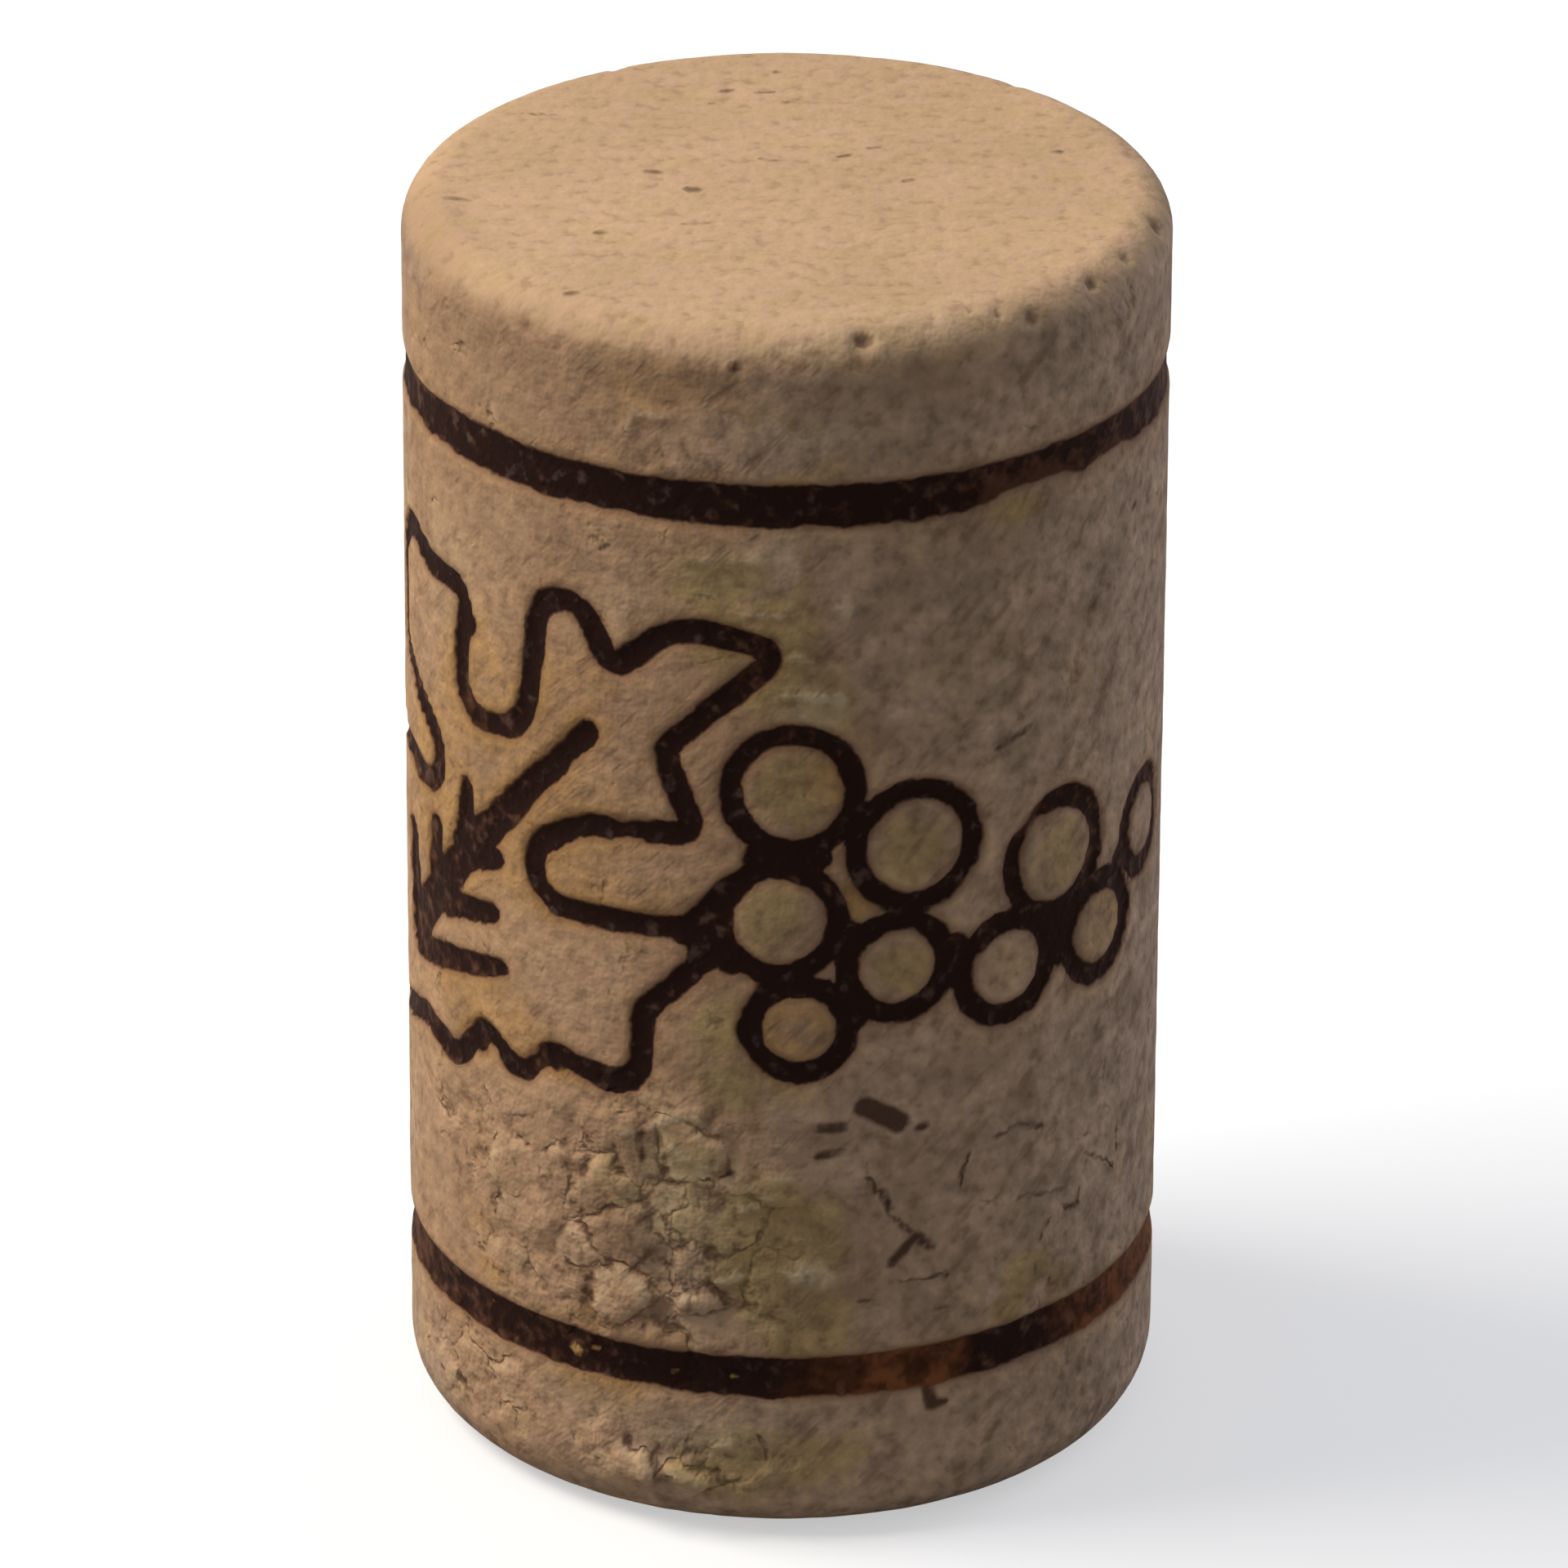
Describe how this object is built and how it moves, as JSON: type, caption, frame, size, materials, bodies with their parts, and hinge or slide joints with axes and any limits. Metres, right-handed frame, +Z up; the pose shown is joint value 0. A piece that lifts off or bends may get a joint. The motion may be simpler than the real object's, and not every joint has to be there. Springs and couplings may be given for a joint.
{
  "type": "bottle cork",
  "caption": "Cylindrical bottle cork of pressed cork grains, with rounded ends, a burnt band near each end and a burnt vine leaf with grapes round the side.",
  "frame": {"origin": "centre of the lower end, which the cork stands on", "axes": "+Z up along the cork's axis, -Y towards the side with the grapes, +X to the right of that side"},
  "size_m": [0.022, 0.022, 0.038],
  "materials": {
    "pressed_cork": "matt, fine cork grains with small pits and dark burnt marks"
  },
  "bodies": {
    "root": {"cork": "pressed_cork"}
  },
  "joints": []
}
